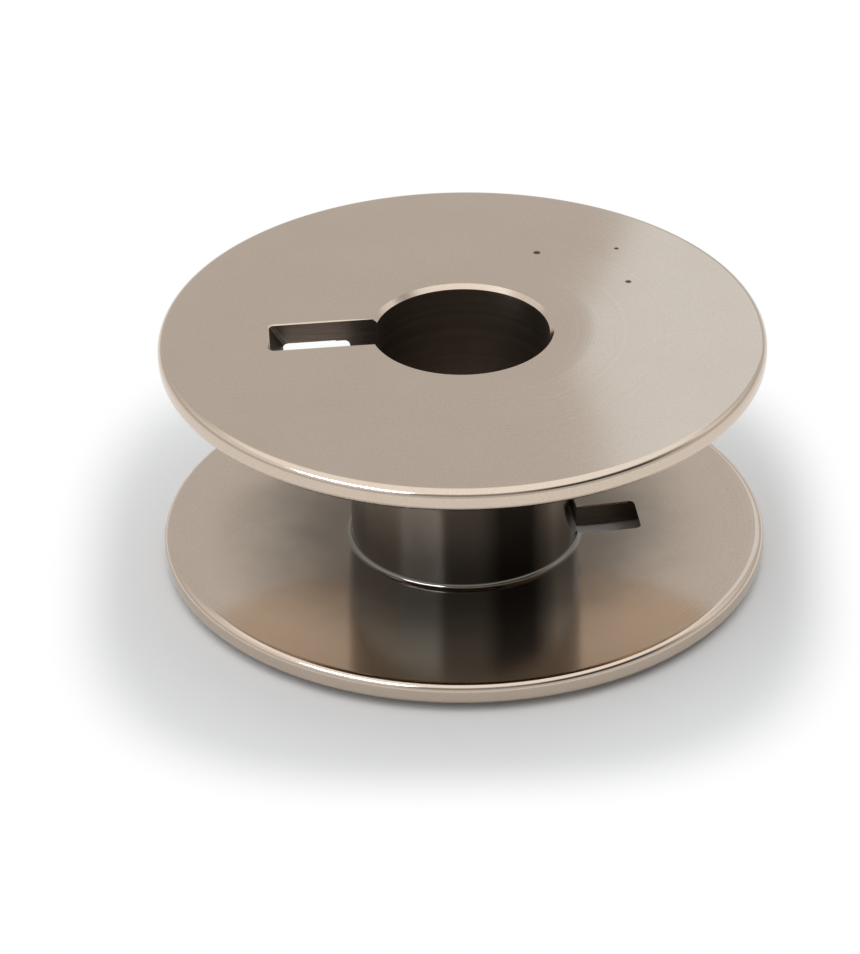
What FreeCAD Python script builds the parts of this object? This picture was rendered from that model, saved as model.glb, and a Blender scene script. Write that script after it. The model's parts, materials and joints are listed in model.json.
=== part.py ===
import FreeCAD
import Part
import math
import os

# A small bobbin for a sewing machine's rotary hook, turned from one piece of steel bar.
# Two thin flanges stand on a plain hub, a smooth bore runs through it for the spindle,
# and one narrow slot is sawn into each flange from its outer face, the two on opposite sides.
# The flanges are slightly coned: they lean towards each other at the rim, so the bobbin
# stands on the flat end of its hub. Millimetres. The axis is Z, and the lower end is at Z = 0.

# Driving dimensions of the turned body.
flange_diameter = 21.0
flange_thickness = 0.8
flange_lean = 0.25
overall_height = 8.9
bore_diameter = 6.05
hub_wall = 0.92
hub_fillet = 0.2
rim_round = 0.3
bore_chamfer = 0.15

# Driving dimensions of the sawn slots.
# Reach is measured from the axis at the height of the hub's end, depth downwards from there.
slot_width = 1.75
slot_reach = 6.72
saw_radius = 5.1
saw_depth = 2.8
saw_corner = 0.18
upper_slot_angle = 183.0
lower_slot_angle = 7.0

# Sizes that follow from the driving dimensions.
flange_radius = flange_diameter / 2
bore_radius = bore_diameter / 2
hub_radius = bore_radius + hub_wall
lean_angle = math.atan2(flange_lean, flange_radius - hub_radius)
saw_height = saw_radius - saw_depth
saw_offset = slot_reach - math.sqrt(saw_radius ** 2 - saw_height ** 2)

AXIS = FreeCAD.Vector(0, 0, 1)
ORIGIN = FreeCAD.Vector(0, 0, 0)


def section_point(radius, depth, from_above):
    """A point of the half section in the XZ plane. Depth runs inwards from the hub's end."""
    height = overall_height - depth if from_above else depth
    return FreeCAD.Vector(radius, 0, height)


def line(start, end):
    return Part.LineSegment(start, end).toShape()


def outer_face_depth(radius):
    """How far the coned outer face of a flange lies inwards from the hub's end."""
    return (radius - hub_radius) * math.tan(lean_angle)


def flange_edges(from_above):
    """One flange: hub end, outer face, rounded rim and inner face, up to the hub's wall."""
    rim_core = flange_radius - rim_round
    foot_core = hub_radius + hub_fillet
    rim_step = rim_round / math.cos(lean_angle)
    foot_step = hub_fillet / math.cos(lean_angle)
    outer_depth = outer_face_depth(rim_core) + rim_step
    inner_depth = outer_face_depth(rim_core) + flange_thickness - rim_step
    foot_depth = outer_face_depth(foot_core) + flange_thickness + foot_step

    def point(radius, depth):
        return section_point(radius, depth, from_above)

    def on_round(radius, depth, size, angle):
        return point(radius + size * math.cos(angle), depth + size * math.sin(angle))

    def round_edge(radius, depth, size, first, last):
        """An arc about a centre, tangent to the faces on both sides of it."""
        turns = (first, (first + last) / 2, last)
        return Part.Arc(*[on_round(radius, depth, size, turn) for turn in turns]).toShape()

    outwards = lean_angle - math.pi / 2
    inwards = lean_angle + math.pi / 2
    end_corner = point(hub_radius, 0)
    outer_end = on_round(rim_core, outer_depth, rim_round, outwards)
    inner_end = on_round(rim_core, inner_depth, rim_round, inwards)
    foot_end = on_round(foot_core, foot_depth, hub_fillet, outwards)
    return [
        line(point(bore_radius + bore_chamfer, 0), end_corner),
        line(end_corner, outer_end),
        round_edge(rim_core, outer_depth, rim_round, outwards, 0),
        line(point(flange_radius, outer_depth), point(flange_radius, inner_depth)),
        round_edge(rim_core, inner_depth, rim_round, 0, inwards),
        line(inner_end, foot_end),
        round_edge(foot_core, foot_depth, hub_fillet, outwards, -math.pi),
        line(point(hub_radius, foot_depth), point(hub_radius, overall_height / 2)),
    ]


def half_section():
    """The outline that the lathe follows, as one closed wire beside the axis."""
    edges = []
    for from_above in (False, True):
        mouth = section_point(bore_radius + bore_chamfer, 0, from_above)
        wall_end = section_point(bore_radius, bore_chamfer, from_above)
        wall_middle = section_point(bore_radius, overall_height / 2, from_above)
        edges += flange_edges(from_above)
        edges += [line(mouth, wall_end), line(wall_end, wall_middle)]
    return Part.Wire(Part.__sortEdges__(edges))


def turned_body():
    return Part.Face(half_section()).revolve(ORIGIN, AXIS, 360)


def saw_cut(angle, from_above):
    """The metal that the saw takes from one flange, from the axis outwards.

    The saw stands upright over the flange, so the floor of the cut is an arc and
    the slot is shorter on the flange's inner face than on its outer one. The corners
    of its teeth are worn round, which rounds the corners at the slot's end.
    """
    saw_centre = FreeCAD.Vector(saw_offset, -slot_width / 2, saw_height)
    saw = Part.makeCylinder(saw_radius, slot_width, saw_centre, FreeCAD.Vector(0, 1, 0))
    tooth_corners = [edge for edge in saw.Edges if isinstance(edge.Curve, Part.Circle)]
    saw = saw.makeFillet(saw_corner, tooth_corners)
    span = saw_offset + saw_radius
    side = Part.makeBox(span, slot_width, 2 * saw_radius,
                        FreeCAD.Vector(0, -slot_width / 2, saw_height - saw_radius))
    cut = saw.common(side)
    if from_above:
        cut.translate(FreeCAD.Vector(0, 0, overall_height))
    else:
        cut.rotate(ORIGIN, FreeCAD.Vector(1, 0, 0), 180)
    cut.rotate(ORIGIN, AXIS, angle)
    return cut


def bobbin():
    body = turned_body()
    body = body.cut(saw_cut(upper_slot_angle, True))
    body = body.cut(saw_cut(lower_slot_angle, False))
    return body.Solids[0]


os.makedirs("parts", exist_ok=True)
piece = bobbin()
piece.exportStep("parts/bobbin.step")
print("bobbin", "valid", piece.isValid(), "volume", round(piece.Volume, 2), "box", piece.optimalBoundingBox())
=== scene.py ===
# %% [markdown]
# A slotted bobbin from a sewing machine's rotary hook: one piece of steel, turned on a lathe, sawn twice
# and nickel plated. This lesson models it again with a much finer surface than the construction solid has,
# because a plated face shows every facet in what it mirrors. First the solid is loaded as the fixed frame.

# %% Load the frame
import json
import math

import bmesh
import bpy
from mathutils import Matrix, Vector

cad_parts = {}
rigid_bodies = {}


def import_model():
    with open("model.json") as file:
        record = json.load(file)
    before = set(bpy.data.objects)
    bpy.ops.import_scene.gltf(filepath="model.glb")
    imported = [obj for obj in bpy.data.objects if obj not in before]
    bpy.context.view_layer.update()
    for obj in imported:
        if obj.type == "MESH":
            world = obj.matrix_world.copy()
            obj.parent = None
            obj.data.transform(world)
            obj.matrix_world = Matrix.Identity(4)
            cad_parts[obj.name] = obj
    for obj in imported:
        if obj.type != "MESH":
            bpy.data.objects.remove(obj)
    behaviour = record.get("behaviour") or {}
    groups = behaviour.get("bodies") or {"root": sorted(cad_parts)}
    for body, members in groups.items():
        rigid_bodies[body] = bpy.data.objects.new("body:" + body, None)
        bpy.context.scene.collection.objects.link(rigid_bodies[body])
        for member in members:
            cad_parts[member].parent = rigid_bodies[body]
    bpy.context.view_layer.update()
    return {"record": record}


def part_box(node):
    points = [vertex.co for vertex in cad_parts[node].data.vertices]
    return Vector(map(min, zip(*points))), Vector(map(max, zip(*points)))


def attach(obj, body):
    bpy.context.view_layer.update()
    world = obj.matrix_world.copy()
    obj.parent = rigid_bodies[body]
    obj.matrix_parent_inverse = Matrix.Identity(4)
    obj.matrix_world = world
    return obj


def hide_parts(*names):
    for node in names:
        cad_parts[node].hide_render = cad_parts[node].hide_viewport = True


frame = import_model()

MM = 0.001

# %% [markdown]
# The overall sizes are read from the frame, so the new surface can't drift away from the solid:
# the flange's radius and the height from the node's box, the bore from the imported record. The
# rest are the lathe's own settings. Everything is modelled in millimetres and scaled to metres
# at the end, because mesh operators compare lengths with a fixed tolerance that is too coarse
# for an edge round of a tenth of a millimetre written in metres.

# %% Sizes in millimetres
low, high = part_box("bobbin")
bore_mount = next(mount for mount in frame["record"]["mounts"] if mount["name"] == "bore")

flange_radius = (high.x - low.x) / 2 / MM
overall_height = high.z / MM
bore_radius = bore_mount["dims"]["r_mm"]
flange_thickness = 0.8
flange_lean = 0.25
hub_wall = 0.92
hub_radius = bore_radius + hub_wall
high_face = overall_height - flange_thickness
lean_slope = flange_lean / (flange_radius - hub_radius)
print("flange radius", round(flange_radius, 3), "height", round(overall_height, 3), "bore", bore_radius)

# %% [markdown]
# The camera comes next, so that every later step can be judged in the picture's own view. It
# stands ten flange diameters away and looks down at the bobbin's middle from about thirty
# degrees. A long lens at a short distance is what a close photograph of a small thing gives.
# The small shift frames the bobbin right of the middle and above it, and the roll is the
# slight tilt of a camera held by hand.

# %% Camera
PICTURE_WIDTH = 860
PICTURE_HEIGHT = 954
distance_in_diameters = 10
camera_distance = distance_in_diameters * 2 * flange_radius * MM
camera_elevation = math.radians(30.81)
camera_roll = math.radians(-0.54)
middle_in_picture = (463.3, 439.5)

camera_data = bpy.data.cameras.new("photo_camera")
camera_data.lens = 227.75
camera_data.sensor_width = 36.0
camera_data.shift_x = (PICTURE_WIDTH / 2 - middle_in_picture[0]) / PICTURE_HEIGHT
camera_data.shift_y = (middle_in_picture[1] - PICTURE_HEIGHT / 2) / PICTURE_HEIGHT
camera_data.clip_start = 0.01
camera_data.clip_end = 10.0

camera = bpy.data.objects.new("photo_camera", camera_data)
bpy.context.scene.collection.objects.link(camera)
bpy.context.scene.camera = camera

bobbin_middle = Vector((0, 0, overall_height / 2 * MM))
towards_camera = Vector((0, -math.cos(camera_elevation), math.sin(camera_elevation)))
look = (-towards_camera).to_track_quat("-Z", "Y").to_matrix().to_4x4()
camera.matrix_world = (Matrix.Translation(bobbin_middle + towards_camera * camera_distance)
                       @ look @ Matrix.Rotation(camera_roll, 4, "Z"))
print("camera at", [round(c, 4) for c in camera.matrix_world.translation])

# %% [markdown]
# The body is what a lathe makes, so it is made the same way: ten corners of the half section are
# joined into a closed loop and spun round the axis. The flanges are slightly coned and lean towards
# each other at the rim, so the bobbin stands on the flat end of its hub. Spinning keeps the mesh in
# clean rings, and a full spin merges its last copy with its first. The corners stay sharp for now.

# %% Spin the half section
SPIN_STEPS = 288
SEAM_MERGE = 0.0001

rim_heights = [
    flange_lean,
    flange_lean + flange_thickness,
    high_face - flange_lean,
    overall_height - flange_lean,
]
section_corners = [
    (bore_radius, 0.0),
    (hub_radius, 0.0),
    (flange_radius, rim_heights[0]),
    (flange_radius, rim_heights[1]),
    (hub_radius, flange_thickness),
    (hub_radius, high_face),
    (flange_radius, rim_heights[2]),
    (flange_radius, rim_heights[3]),
    (hub_radius, overall_height),
    (bore_radius, overall_height),
]

turned = bmesh.new()
corner_verts = [turned.verts.new((radius, 0.0, height)) for radius, height in section_corners]
corner_pairs = [(corner_verts[i - 1], corner_verts[i]) for i in range(len(corner_verts))]
section_edges = [turned.edges.new(pair) for pair in corner_pairs]
bmesh.ops.spin(turned, geom=corner_verts + section_edges, cent=(0, 0, 0), axis=(0, 0, 1),
               angle=math.tau, steps=SPIN_STEPS, use_merge=True)
bmesh.ops.remove_doubles(turned, verts=turned.verts, dist=SEAM_MERGE)
bmesh.ops.recalc_face_normals(turned, faces=turned.faces)
print("spun body:", len(turned.verts), "vertices,", len(turned.faces), "faces")

# %% [markdown]
# No turned edge is sharp. The rims are rounded so that they can't cut the thread, the hub runs
# into each flange in a small fillet, and the bore's mouths are chamfered so that the bobbin slips
# on its post. A bevel on each ring does all three: its offset is the radius at a square corner,
# it fills an inside corner as readily as it rounds an outside one, and with a single segment it
# is a flat chamfer. A last wide bevel takes the crease out of the step from the hub's flat end to
# the cone, which polishing blurs.

# %% Round the rings
RING_TOLERANCE = 0.001
RIM_SEGMENTS = 12
FILLET_SEGMENTS = 10
CHAMFER_SEGMENTS = 1
BLEND_SEGMENTS = 10
rim_round = 0.3
hub_fillet = 0.2
mouth_chamfer = 0.15
end_blend = 0.7


def ring_edges(body, radius, height):
    """The edges of the ring at one corner of the section."""

    def on_ring(vert):
        off_radius = abs(vert.co.xy.length - radius)
        off_height = abs(vert.co.z - height)
        return off_radius < RING_TOLERANCE and off_height < RING_TOLERANCE

    return [edge for edge in body.edges if all(on_ring(vert) for vert in edge.verts)]


def round_ring(body, corner, radius, segments):
    bmesh.ops.bevel(body, geom=ring_edges(body, *corner), offset=radius, offset_type="OFFSET",
                    segments=segments, profile=0.5, affect="EDGES", material=-1)


for height in rim_heights:
    round_ring(turned, (flange_radius, height), rim_round, RIM_SEGMENTS)
for height in (flange_thickness, high_face):
    round_ring(turned, (hub_radius, height), hub_fillet, FILLET_SEGMENTS)
for height in (0.0, overall_height):
    round_ring(turned, (bore_radius, height), mouth_chamfer, CHAMFER_SEGMENTS)
    round_ring(turned, (hub_radius, height), end_blend, BLEND_SEGMENTS)
print("rounded body:", len(turned.verts), "vertices,", len(turned.faces), "faces")

# %% [markdown]
# The piece gets three materials, which are filled in later. Most of it is plated. The bore's wall has a
# material of its own, which paints the shade inside the narrow hole. The third is for the slots: their
# cutters carry it, and a Boolean passes a cutter's material on to the faces that it leaves.

# %% Three materials
BORE_SLOT = 1

plated_steel = bpy.data.materials.new("nickel_plated_turned_steel")
bore_steel = bpy.data.materials.new("bored_steel_with_painted_shade")
sawn_steel = bpy.data.materials.new("nickel_plated_sawn_steel")


def in_bore(face):
    return all(vert.co.xy.length < bore_radius + RING_TOLERANCE for vert in face.verts)


bore_faces = [face for face in turned.faces if in_bore(face)]
for face in bore_faces:
    face.material_index = BORE_SLOT
print(len(bore_faces), "faces in the bore")

# %% [markdown]
# The thread is led out through a slot in each flange. A disc saw plunges upright through the
# flange's outer face, so the slot's floor is an arc: it is longest on the outer face, goes
# through the flange, and notches the hub's wall. The corners of the saw's teeth are worn, which
# rounds the corners of the slot's end. Two discs stand for the saw in its two settings.

# %% Saw discs
SAW_SEGMENTS = 256
TOOTH_SEGMENTS = 5
slot_width = 1.75
slot_reach = 6.72
saw_radius = 5.1
saw_depth = 2.8
saw_corner = 0.18
upper_slot_angle = math.radians(183)
lower_slot_angle = math.radians(7)
saw_height = saw_radius - saw_depth
saw_offset = slot_reach - math.sqrt(saw_radius ** 2 - saw_height ** 2)


def mesh_object(name, shape, materials):
    """A new object in the scene from a bmesh, which is freed."""
    mesh = bpy.data.meshes.new(name)
    shape.to_mesh(mesh)
    shape.free()
    for material in materials:
        mesh.materials.append(material)
    made = bpy.data.objects.new(name, mesh)
    bpy.context.scene.collection.objects.link(made)
    return made


def saw_disc(name, place):
    """The saw as a disc. Its caps are the only faces with more than four corners."""
    disc = bmesh.new()
    bmesh.ops.create_cone(disc, cap_ends=True, segments=SAW_SEGMENTS, radius1=saw_radius,
                          radius2=saw_radius, depth=slot_width)
    tooth_corners = [edge for edge in disc.edges if any(len(face.verts) > 4 for face in edge.link_faces)]
    bmesh.ops.bevel(disc, geom=tooth_corners, offset=saw_corner, offset_type="OFFSET",
                    segments=TOOTH_SEGMENTS, profile=0.5, affect="EDGES", material=-1)
    upright = Matrix.Rotation(math.pi / 2, 4, "X")
    over_flange = Matrix.Translation((saw_offset, 0, saw_height))
    bmesh.ops.transform(disc, matrix=place @ over_flange @ upright, verts=disc.verts)
    bmesh.ops.recalc_face_normals(disc, faces=disc.faces)
    return mesh_object(name, disc, [sawn_steel])


to_upper = Matrix.Rotation(upper_slot_angle, 4, "Z") @ Matrix.Translation((0, 0, overall_height))
to_lower = Matrix.Rotation(lower_slot_angle, 4, "Z") @ Matrix.Rotation(math.pi, 4, "X")
cutters = [saw_disc("upper_saw", to_upper), saw_disc("lower_saw", to_lower)]
print("saw", round(saw_height, 3), "mm over the hub's end,", round(saw_offset, 3), "mm from the axis")

# %% [markdown]
# A saw leaves a burr, which is brushed off before plating, so the slot's edges are broken by a
# narrow sloping strip. A block whose sides lean outwards cuts that strip from a whole face at once:
# at the depth of the strip it is as wide as the slot, and further out it is wider. It is tipped to
# lie along the coned face. Each slot needs one for the outer face and one for the inner face, which
# starts clear of the hub's fillet.

# %% Break the slot edges
BLOCK_SEGMENTS = 4
slot_chamfer = 0.04
block_rise = 0.3
lean_angle = math.atan(lean_slope)


def reach_at(depth):
    """How far from the axis the saw reaches at a depth below the hub's end."""
    return saw_offset + math.sqrt(saw_radius ** 2 - (saw_height + depth) ** 2)


def chamfer_block(name, place, first, last):
    block = bmesh.new()
    bmesh.ops.create_cube(block, size=1.0)
    far_edges = [edge for edge in block.edges if all(vert.co.x > 0 for vert in edge.verts)]
    far_corners = [edge for edge in far_edges if edge.verts[0].co.y == edge.verts[1].co.y]
    for vert in block.verts:
        spread = slot_chamfer + block_rise if vert.co.z > 0 else 0.0
        along = last + spread if vert.co.x > 0 else first
        across = math.copysign(slot_width / 2 + spread, vert.co.y)
        vert.co = (along, across, spread - slot_chamfer)
    bmesh.ops.bevel(block, geom=far_corners, offset=saw_corner, offset_type="OFFSET",
                    segments=BLOCK_SEGMENTS, profile=0.5, affect="EDGES", material=-1)
    bmesh.ops.transform(block, matrix=place, verts=block.verts)
    bmesh.ops.recalc_face_normals(block, faces=block.faces)
    return mesh_object(name, block, [plated_steel])


end_depth = lean_slope * (slot_reach - hub_radius)
outer_reach = reach_at(end_depth)
inner_reach = reach_at(end_depth + flange_thickness)
past_fillet = hub_radius + 2 * hub_fillet
to_hub_edge = Matrix.Translation((-hub_radius, 0, 0))
along_cone = Matrix.Rotation(lean_angle, 4, "Y")
turned_over = Matrix.Rotation(math.pi, 4, "X")
for name, to_slot in (("upper", to_upper), ("lower", to_lower)):
    to_outer = to_slot @ Matrix.Translation((hub_radius, 0, 0)) @ along_cone @ to_hub_edge
    to_inner = to_slot @ Matrix.Translation((hub_radius, 0, -flange_thickness)) @ along_cone
    to_inner = to_inner @ turned_over @ to_hub_edge
    cutters.append(chamfer_block(name + "_outer_block", to_outer, 0.0, outer_reach))
    cutters.append(chamfer_block(name + "_inner_block", to_inner, past_fillet, inner_reach))
print(len(cutters), "cutters, slot reaches", round(outer_reach, 2), "mm outside and",
      round(inner_reach, 2), "mm inside")

# %% [markdown]
# Now the cutters are taken away, each by a Boolean modifier with the exact solver, which keeps the
# long thin faces round a slot clean. The modifiers aren't left live: the mesh that they give is
# kept, and the cutters are deleted. Corners that the cuts left almost on top of each other are
# merged before the normals are worked out again, and the count of open edges shows that the body
# is still closed.

# %% Saw the slots
CUT_MERGE = 0.0005

bobbin = mesh_object("bobbin_turned", turned, [plated_steel, bore_steel])
for cutter in cutters:
    cut = bobbin.modifiers.new(cutter.name, "BOOLEAN")
    cut.operation = "DIFFERENCE"
    cut.solver = "EXACT"
    cut.material_mode = "TRANSFER"
    cut.object = cutter
sawn_mesh = bpy.data.meshes.new_from_object(bobbin.evaluated_get(bpy.context.evaluated_depsgraph_get()))
bobbin.modifiers.clear()
bobbin.data = sawn_mesh
for cutter in cutters:
    bpy.data.objects.remove(cutter)

body = bmesh.new()
body.from_mesh(sawn_mesh)
bmesh.ops.remove_doubles(body, verts=body.verts, dist=CUT_MERGE)
bmesh.ops.recalc_face_normals(body, faces=body.faces)
open_edges = [edge for edge in body.edges if not edge.is_manifold]
print("sawn body:", len(body.verts), "vertices, open edges left:", len(open_edges))

# %% [markdown]
# The finished piece goes to metres. Smooth shading would bend the flange faces towards the rounds
# and slots beside them, and a mirror shows the slightest bend. So the flange faces are shaded flat:
# two neighbours of the cone differ by a twentieth of a degree, which no eye finds. The walls and
# rounds are smooth, with normals weighted by face area, which keeps the hub's wall straight.

# %% Finish the piece
smooth_limit = math.radians(40)
flat_from = math.cos(2 * lean_angle)

for face in body.faces:
    face.smooth = abs(face.normal.z) < flat_from
for edge in body.edges:
    all_smooth = all(face.smooth for face in edge.link_faces)
    edge.smooth = edge.calc_face_angle(0.0) < smooth_limit and all_smooth
bmesh.ops.scale(body, vec=(MM, MM, MM), verts=body.verts)
body.to_mesh(sawn_mesh)
body.free()
straight_walls = bobbin.modifiers.new("straight_walls", "WEIGHTED_NORMAL")
straight_walls.weight = 100
straight_walls.keep_sharp = True

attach(bobbin, "root")
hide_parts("bobbin")
print("finished piece:", len(sawn_mesh.vertices), "vertices,", len(sawn_mesh.polygons), "faces")

# %% [markdown]
# Colours are written as sRGB hex values, as a paint chart gives them, and one function turns
# them to the linear values that shaders work in. Another adds a node with its settings and
# links, so that a material reads as a list of what feeds what.

# %% Helpers for materials


def linear(hex_colour):
    """Linear red, green, blue and alpha from an sRGB hex colour."""
    channels = [int(hex_colour[i:i + 2], 16) / 255 for i in (1, 3, 5)]
    return [c / 12.92 if c <= 0.04045 else ((c + 0.055) / 1.055) ** 2.4 for c in channels] + [1.0]


def add_node(tree, kind, settings=None, inputs=None):
    """A new node. An input that is a socket is linked, anything else is set as a value."""
    node = tree.nodes.new(kind)
    for name, value in (settings or {}).items():
        setattr(node, name, value)
    for name, value in (inputs or {}).items():
        if isinstance(value, bpy.types.NodeSocket):
            tree.links.new(value, node.inputs[name])
        else:
            node.inputs[name].default_value = value
    return node


print("linear mid grey:", [round(c, 3) for c in linear("#808080")])

# %% [markdown]
# Every finish on this piece was made by turning or cutting it, so the patterns start from its place
# on the lathe: millimetres, the distance from the axis and the height. The marks of a tool run
# round the axis, so their pattern reads the distance from the axis plus the height: one number
# that grows across a flat face and up a straight wall alike.

# %% Lathe patterns


def lathe_place(tree):
    """The place on the piece in millimetres, its distance from the axis and its height."""
    place = add_node(tree, "ShaderNodeTexCoord").outputs["Object"]
    in_mm = add_node(tree, "ShaderNodeVectorMath", {"operation": "SCALE"},
                     {0: place, "Scale": 1 / MM}).outputs["Vector"]
    axes = add_node(tree, "ShaderNodeSeparateXYZ", inputs={"Vector": in_mm}).outputs
    flattened = add_node(tree, "ShaderNodeCombineXYZ",
                         inputs={"X": axes["X"], "Y": axes["Y"]}).outputs["Vector"]
    from_axis = add_node(tree, "ShaderNodeVectorMath", {"operation": "LENGTH"},
                         {0: flattened}).outputs["Value"]
    return in_mm, from_axis, axes["Z"]


def turning_marks(tree, from_axis, height, width):
    """Rings of a lathe tool, as a value from 0 to 1."""
    path = add_node(tree, "ShaderNodeMath", {"operation": "ADD"},
                    {0: from_axis, 1: height}).outputs["Value"]
    return add_node(tree, "ShaderNodeTexNoise", {"noise_dimensions": "1D"},
                    {"W": path, "Scale": 1 / width, "Detail": 3.0, "Roughness": 0.6}).outputs["Fac"]


print("patterns on the lathe:", lathe_place.__name__, "and", turning_marks.__name__)

# %% [markdown]
# Nickel plating over turned steel: a warm grey metal with a satin mirror. Bright nickel alone
# would mirror sharply, and the fine marks of the lathe under it blur the mirror a little. The
# real feed of a few hundredths of a millimetre is finer than a pixel, so the marks are drawn
# coarser to show. Faint clouds and a fine grain dull the colour in patches.

# %% Turned and plated steel
nickel = linear("#d0c1b2")
nickel_dull = linear("#c6b6a5")
mark_width = 0.16
cloud_width = 2.5
grain_width = 0.07
cloud_share = 0.5
dull_from = 0.4
dull_to = 1.1
satin_low = 0.09
satin_high = 0.13

plated_steel.use_nodes = True
tree = plated_steel.node_tree
tree.nodes.clear()
in_mm, from_axis, height = lathe_place(tree)
marks = turning_marks(tree, from_axis, height, mark_width)
clouds = add_node(tree, "ShaderNodeTexNoise", {"noise_dimensions": "3D"},
                  {"Vector": in_mm, "Scale": 1 / cloud_width, "Detail": 4.0,
                   "Roughness": 0.55}).outputs["Fac"]
grain = add_node(tree, "ShaderNodeTexNoise", {"noise_dimensions": "3D"},
                 {"Vector": in_mm, "Scale": 1 / grain_width, "Detail": 2.0}).outputs["Fac"]
patchy = add_node(tree, "ShaderNodeMath", {"operation": "MULTIPLY_ADD"},
                  {0: clouds, 1: cloud_share, 2: grain}).outputs["Value"]
dulling = add_node(tree, "ShaderNodeMapRange",
                   inputs={"Value": patchy, "From Min": dull_from, "From Max": dull_to}).outputs["Result"]
clean_tint = add_node(tree, "ShaderNodeMix", {"data_type": "RGBA"},
                      {"Factor": dulling, "A": nickel, "B": nickel_dull}).outputs["Result"]
satin = add_node(tree, "ShaderNodeMapRange",
                 inputs={"Value": marks, "From Min": 0.3, "From Max": 0.7,
                         "To Min": satin_low, "To Max": satin_high}).outputs["Result"]
print("marks", mark_width, "mm wide, clouds", cloud_width, "mm wide, grain", grain_width, "mm wide")

# %% [markdown]
# Plating leaves a few pinholes where dirt lay on the steel. Three of them are on the upper face,
# each a dark dot that fades over its last third.

# %% Pinholes in the plating
pinhole_colour = linear("#4a4038")
# Across, along and radius in millimetres.
pinholes = [(2.65, 5.47, 0.15), (5.81, 3.37, 0.13), (5.46, 5.85, 0.1)]

pitted = 0.0
for along_x, along_y, radius in pinholes:
    on_face = overall_height - lean_slope * (math.hypot(along_x, along_y) - hub_radius)
    away = add_node(tree, "ShaderNodeVectorMath", {"operation": "DISTANCE"},
                    {0: in_mm, 1: (along_x, along_y, on_face)}).outputs["Value"]
    dot = add_node(tree, "ShaderNodeMapRange",
                   inputs={"Value": away, "From Min": radius, "From Max": radius * 2 / 3}).outputs["Result"]
    pitted = add_node(tree, "ShaderNodeMath", {"operation": "MAXIMUM"},
                      {0: pitted, 1: dot}).outputs["Value"]
clean_tint = add_node(tree, "ShaderNodeMix", {"data_type": "RGBA"},
                      {"Factor": pitted, "A": clean_tint, "B": pinhole_colour}).outputs["Result"]
print(len(pinholes), "pinholes")

# %% [markdown]
# The metal is darkened in the corner between the hub and the lower flange: painted shade where the hub and
# the upper flange dim what the face mirrors. The painted shade clears up towards the rim, on the right a
# little sooner than on the left, and the upper flange's underside takes a third of it. The mask is made of
# two parts: the band of heights that holds the thread, and a ragged distance from the hub.

# %% Where the painted shade lies
# Painted shade between the flanges: full near the hub, gone by this distance from the axis.
shade_full = hub_radius + 0.5
shade_end = 9.4
sooner_on_right = 0.02
underside_share = 0.33
band_margin = 0.02
band_low = flange_thickness - band_margin
band_high = high_face + band_margin

above = add_node(tree, "ShaderNodeMath", {"operation": "GREATER_THAN"},
                 {0: height, 1: band_low}).outputs["Value"]
below = add_node(tree, "ShaderNodeMath", {"operation": "LESS_THAN"},
                 {0: height, 1: band_high}).outputs["Value"]
in_band = add_node(tree, "ShaderNodeMath", {"operation": "MULTIPLY"},
                   {0: above, 1: below}).outputs["Value"]
strength = add_node(tree, "ShaderNodeMapRange",
                    inputs={"Value": height, "From Min": rim_heights[2] - hub_fillet,
                            "From Max": rim_heights[2], "To Min": 1.0,
                            "To Max": underside_share}).outputs["Result"]
in_band = add_node(tree, "ShaderNodeMath", {"operation": "MULTIPLY"},
                   {0: in_band, 1: strength}).outputs["Value"]

sideways = add_node(tree, "ShaderNodeSeparateXYZ", inputs={"Vector": in_mm}).outputs["X"]
unevenness = add_node(tree, "ShaderNodeMapRange",
                      inputs={"Value": clouds, "To Min": -1.0, "To Max": 1.0}).outputs["Result"]
ragged = add_node(tree, "ShaderNodeMath", {"operation": "ADD"},
                  {0: unevenness, 1: from_axis}).outputs["Value"]
ragged = add_node(tree, "ShaderNodeMath", {"operation": "MULTIPLY_ADD"},
                  {0: sideways, 1: sooner_on_right, 2: ragged}).outputs["Value"]
near_hub = add_node(tree, "ShaderNodeMapRange", {"interpolation_type": "SMOOTHSTEP"},
                    {"Value": ragged, "From Min": shade_end, "From Max": shade_full}).outputs["Result"]
painted_shade = add_node(tree, "ShaderNodeMath", {"operation": "MULTIPLY"},
                   {0: near_hub, 1: in_band}).outputs["Value"]
print("tarnish fades from", round(shade_full, 2), "mm to", shade_end, "mm from the axis")

# %% [markdown]
# The last step of this metal mixes the clean plating and the painted shade. The painted shade on the hub is
# greyer than the flange's. A very faint bump from the turning marks breaks up what the faces mirror, and
# the metal keeps its default IOR.

# %% Clean plating and painted shade together
# Colours of the painted shade on the flange and on the hub.
flange_shade_colour = linear("#746a60")
hub_shade_colour = linear("#7c7974")
shade_zone_roughness = 0.13
groove_depth = 0.00001

on_hub = add_node(tree, "ShaderNodeMapRange",
                  inputs={"Value": from_axis, "From Min": hub_radius + hub_fillet,
                          "From Max": hub_radius}).outputs["Result"]
shade_tint = add_node(tree, "ShaderNodeMix", {"data_type": "RGBA"},
                {"Factor": on_hub, "A": flange_shade_colour, "B": hub_shade_colour}).outputs["Result"]
tint = add_node(tree, "ShaderNodeMix", {"data_type": "RGBA"},
                {"Factor": painted_shade, "A": clean_tint, "B": shade_tint}).outputs["Result"]
roughness = add_node(tree, "ShaderNodeMix", {"data_type": "FLOAT"},
                     {"Factor": painted_shade, "A": satin, "B": shade_zone_roughness}).outputs["Result"]
grooves = add_node(tree, "ShaderNodeBump",
                   inputs={"Strength": 0.005, "Distance": groove_depth, "Height": marks}).outputs["Normal"]
metal = add_node(tree, "ShaderNodeBsdfPrincipled",
                 inputs={"Base Color": tint, "Metallic": 1.0, "Roughness": roughness, "Normal": grooves})
add_node(tree, "ShaderNodeOutputMaterial", inputs={"Surface": metal.outputs["BSDF"]})
print(plated_steel.name, "has", len(tree.nodes), "nodes")
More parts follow.
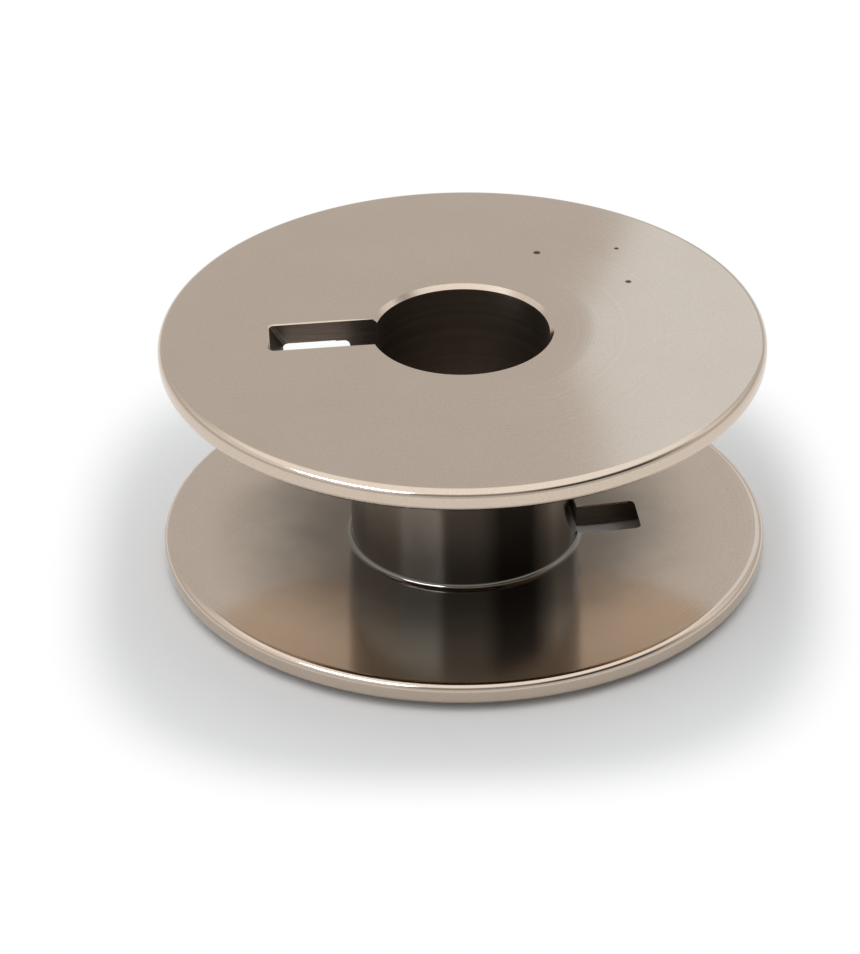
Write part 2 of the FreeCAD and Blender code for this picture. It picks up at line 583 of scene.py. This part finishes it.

# %% [markdown]
# The bore was drilled and reamed. Its wall is painted darker than the faces, as painted shade inside the
# narrow hole, and it is duller, with rings left by the reamer.

# %% Bored steel
# Bore colours, painted darker as the shade inside the hole.
bore_shaded = linear("#aca093")
bore_shaded_dark = linear("#8d8176")
reamer_width = 0.3
reamer_depth = 0.00002

bore_steel.use_nodes = True
tree = bore_steel.node_tree
tree.nodes.clear()
in_mm, from_axis, height = lathe_place(tree)
marks = turning_marks(tree, from_axis, height, reamer_width)
tint = add_node(tree, "ShaderNodeMix", {"data_type": "RGBA"},
                {"Factor": marks, "A": bore_shaded, "B": bore_shaded_dark}).outputs["Result"]
grooves = add_node(tree, "ShaderNodeBump",
                   inputs={"Strength": 0.1, "Distance": reamer_depth, "Height": marks}).outputs["Normal"]
metal = add_node(tree, "ShaderNodeBsdfPrincipled",
                 inputs={"Base Color": tint, "Metallic": 1.0, "Roughness": 0.3, "Normal": grooves})
add_node(tree, "ShaderNodeOutputMaterial", inputs={"Surface": metal.outputs["BSDF"]})
print(bore_steel.name, "has", len(tree.nodes), "nodes")

# %% [markdown]
# The sawn walls got the same plating over a much coarser surface, so they mirror nothing clearly. Their
# colour is painted darker than the plating, as painted shade inside the slots. Their marks are the saw's:
# fine scratches along the cut.

# %% Sawn and plated steel
# Sawn colours, painted darker as the shade inside the slots.
sawn_shade_colour = linear("#7d7166")
sawn_shade_colour_dark = linear("#5a5048")
scratch_size = (1.2, 1.2, 0.08)
scratch_depth = 0.00002

sawn_steel.use_nodes = True
tree = sawn_steel.node_tree
tree.nodes.clear()
in_mm = lathe_place(tree)[0]
stretched = add_node(tree, "ShaderNodeMapping",
                     inputs={"Vector": in_mm,
                             "Scale": [1 / size for size in scratch_size]}).outputs["Vector"]
scratches = add_node(tree, "ShaderNodeTexNoise",
                     inputs={"Vector": stretched, "Scale": 1.0, "Detail": 3.0}).outputs["Fac"]
tint = add_node(tree, "ShaderNodeMix", {"data_type": "RGBA"},
                {"Factor": scratches, "A": sawn_shade_colour, "B": sawn_shade_colour_dark}).outputs["Result"]
grooves = add_node(tree, "ShaderNodeBump",
                   inputs={"Strength": 0.2, "Distance": scratch_depth,
                           "Height": scratches}).outputs["Normal"]
metal = add_node(tree, "ShaderNodeBsdfPrincipled",
                 inputs={"Base Color": tint, "Metallic": 1.0, "Roughness": 0.38, "Normal": grooves})
add_node(tree, "ShaderNodeOutputMaterial", inputs={"Surface": metal.outputs["BSDF"]})
print(sawn_steel.name, "has", len(tree.nodes), "nodes")

# %% [markdown]
# The bobbin stands on one large sheet of matt card, far larger than the view, so that it also
# fills what the metal mirrors below the horizon. The card is a grid of one face.

# %% Floor sheet
floor_half = 1.5

sheet = bmesh.new()
bmesh.ops.create_grid(sheet, x_segments=1, y_segments=1, size=floor_half)
card = bpy.data.materials.new("matt_card")
floor = mesh_object("studio_floor", sheet, [card])
print("floor", 2 * floor_half, "m square")

# %% [markdown]
# Where the bobbin stands the card is painted light grey, a painted shadow round the bobbin, and it keeps
# the object's own shadow as well. Past a rounded square it fades to plain white. The rounded square is a
# distance from the middle that adds up cubes in place of the usual squares, counted in half widths. The
# white is an emission that only rays from the camera and mirrored or bent ones meet, so it is seen and
# lights nothing.

# %% Matt card
# The grey is a painted shadow round the bobbin.
shadow_halo_grey = linear("#edeeef")
card_white = linear("#ffffff")
shadow_halo_middle = {"X": -0.00037, "Y": -0.00057}
shadow_halo_half = {"X": 0.0112, "Y": 0.0125}
white_from = 1.28
squareness = 3.0

card.use_nodes = True
tree = card.node_tree
tree.nodes.clear()
spot = add_node(tree, "ShaderNodeTexCoord").outputs["Object"]
along = add_node(tree, "ShaderNodeSeparateXYZ", inputs={"Vector": spot}).outputs
outwards = 0.0
for axis, half in shadow_halo_half.items():
    share = add_node(tree, "ShaderNodeMath", {"operation": "SUBTRACT"},
                     {0: along[axis], 1: shadow_halo_middle[axis]}).outputs["Value"]
    share = add_node(tree, "ShaderNodeMath", {"operation": "DIVIDE"},
                     {0: share, 1: half}).outputs["Value"]
    share = add_node(tree, "ShaderNodeMath", {"operation": "ABSOLUTE"}, {0: share}).outputs["Value"]
    share = add_node(tree, "ShaderNodeMath", {"operation": "POWER"},
                     {0: share, 1: squareness}).outputs["Value"]
    outwards = add_node(tree, "ShaderNodeMath", {"operation": "ADD"},
                        {0: share, 1: outwards}).outputs["Value"]
outwards = add_node(tree, "ShaderNodeMath", {"operation": "POWER"},
                    {0: outwards, 1: 1 / squareness}).outputs["Value"]
whiteness = add_node(tree, "ShaderNodeMapRange", {"interpolation_type": "SMOOTHSTEP"},
                     {"Value": outwards, "From Min": 1.0, "From Max": white_from}).outputs["Result"]

ray = add_node(tree, "ShaderNodeLightPath").outputs
seen = ray["Is Camera Ray"]
for bounced in ("Is Glossy Ray", "Is Transmission Ray"):
    seen = add_node(tree, "ShaderNodeMath", {"operation": "MAXIMUM"},
                    {0: seen, 1: ray[bounced]}).outputs["Value"]
seen_white = add_node(tree, "ShaderNodeMath", {"operation": "MULTIPLY"},
                      {0: whiteness, 1: seen}).outputs["Value"]
paper = add_node(tree, "ShaderNodeBsdfDiffuse", inputs={"Color": shadow_halo_grey}).outputs["BSDF"]
white = add_node(tree, "ShaderNodeEmission",
                 inputs={"Color": card_white, "Strength": 1.0}).outputs["Emission"]
surface = add_node(tree, "ShaderNodeMixShader",
                   inputs={"Fac": seen_white, 1: paper, 2: white}).outputs["Shader"]
add_node(tree, "ShaderNodeOutputMaterial", inputs={"Surface": surface})
print(card.name, "has", len(tree.nodes), "nodes")

# %% [markdown]
# Metal looks like what it mirrors, so the light is a plain studio drawn in the world: walls that
# go once round the bobbin, and a bright soft ceiling over them. The walls are one colour ramp over
# the compass direction. Straight behind is the grey that the flat faces mirror. The sides are
# paler, and the camera's own side is darker, which puts the upright streaks on the hub.

# %% Studio walls in the world
# Degrees from the camera's side, to the left below zero and to the right above it.
walls = [
    (-180, "#c3c2c1"), (-145, "#c3c2c1"), (-110, "#e3e2e1"), (-72, "#e3e2e1"),
    (-64, "#dfe8f0"), (-28, "#dfe8f0"), (-20, "#8c8b8a"), (17, "#8c8b8a"),
    (38, "#3a3938"), (74, "#434241"), (97, "#c3c2c1"), (106, "#edeceb"),
    (145, "#c3c2c1"), (180, "#c3c2c1"),
]

world = bpy.data.worlds.new("soft_studio")
bpy.context.scene.world = world
world.use_nodes = True
tree = world.node_tree
tree.nodes.clear()
direction = add_node(tree, "ShaderNodeTexCoord").outputs["Generated"]
way = add_node(tree, "ShaderNodeSeparateXYZ", inputs={"Vector": direction}).outputs
to_front = add_node(tree, "ShaderNodeMath", {"operation": "MULTIPLY"},
                    {0: way["Y"], 1: -1.0}).outputs["Value"]
bearing = add_node(tree, "ShaderNodeMath", {"operation": "ARCTAN2"},
                   {0: way["X"], 1: to_front}).outputs["Value"]
round_trip = add_node(tree, "ShaderNodeMapRange",
                      inputs={"Value": bearing, "From Min": -math.pi,
                              "From Max": math.pi}).outputs["Result"]
wall_ramp = add_node(tree, "ShaderNodeValToRGB", inputs={"Fac": round_trip})
stops = wall_ramp.color_ramp.elements
while len(stops) < len(walls):
    stops.new(1.0)
for stop, (degrees, colour) in zip(stops, walls):
    stop.position = (degrees + 180) / 360
    stop.color = linear(colour)
print("walls with", len(walls), "stops")

# %% [markdown]
# Two mixes over the direction's height finish the room. Near the floor the walls are one light grey
# all round, so that the bobbin looks plated from behind as well. Above, the walls go over into the
# white ceiling. The heights are sines of the angle above the horizon.

# %% Low wall and ceiling
low_wall = linear("#c3c2c1")
low_wall_top = 0.31
wall_foot = 0.44
ceiling = linear("#ffffff")
ceiling_strength = 1.3
wall_top = 0.64
ceiling_edge = 0.80

above_low = add_node(tree, "ShaderNodeMapRange", {"interpolation_type": "SMOOTHSTEP"},
                     {"Value": way["Z"], "From Min": low_wall_top, "From Max": wall_foot}).outputs["Result"]
room = add_node(tree, "ShaderNodeMix", {"data_type": "RGBA"},
                {"Factor": above_low, "A": low_wall, "B": wall_ramp.outputs["Color"]}).outputs["Result"]
upwards = add_node(tree, "ShaderNodeMapRange", {"interpolation_type": "SMOOTHSTEP"},
                   {"Value": way["Z"], "From Min": wall_top, "From Max": ceiling_edge}).outputs["Result"]
light = add_node(tree, "ShaderNodeMix", {"data_type": "RGBA"},
                 {"Factor": upwards, "A": room, "B": ceiling}).outputs["Result"]
studio = add_node(tree, "ShaderNodeBackground", inputs={"Color": light, "Strength": ceiling_strength})
add_node(tree, "ShaderNodeOutputWorld", inputs={"Surface": studio.outputs["Background"]})
print("world with", len(tree.nodes), "nodes")

# %% [markdown]
# Two lamps finish the light. A tall soft panel stands behind on the right, and its edge is what
# makes the right third of the upper face brighter and cooler. A wide thin lamp at the front left
# gives the highlight at the hub's foot and the white stretch of the rims. Light linking keeps it
# off the card, where it would draw a second shadow. A ray that meets a lamp goes on to the world
# behind it, so a panel adds its light to what is there.

# %% Lamps


def panel(name, place, aim, size, radiance, colour):
    """A rectangular lamp. Its power is four times its radiance times its area."""
    lamp = bpy.data.lights.new(name, "AREA")
    lamp.shape = "RECTANGLE"
    lamp.size, lamp.size_y = size
    lamp.energy = 4 * radiance * size[0] * size[1]
    lamp.color = linear(colour)[:3]
    made = bpy.data.objects.new(name, lamp)
    bpy.context.scene.collection.objects.link(made)
    away = Vector(aim) - Vector(place)
    made.matrix_world = Matrix.Translation(place) @ away.to_track_quat("-Z", "Y").to_matrix().to_4x4()
    made.visible_camera = False
    print(name, "gives", round(lamp.energy, 4), "W")
    return made


panel("back_panel", place=(0.0635, 0.150, 0.125), aim=(0.0635, 0.0, 0.125), size=(0.10, 0.13),
      radiance=0.35, colour="#d0e6fa")
front_lamp = panel("front_lamp", place=(-0.134, -0.130, 0.191), aim=(0, 0, 0.004), size=(0.16, 0.024),
                   radiance=30.0, colour="#eef4ff")
lit_pieces = bpy.data.collections.new("lit_by_front_lamp")
lit_pieces.objects.link(bobbin)
front_lamp.light_linking.receiver_collection = lit_pieces

# %% [markdown]
# The view transform is set to Standard so that colours come out as they are written.

# %% Finish
bpy.context.scene.view_settings.view_transform = "Standard"
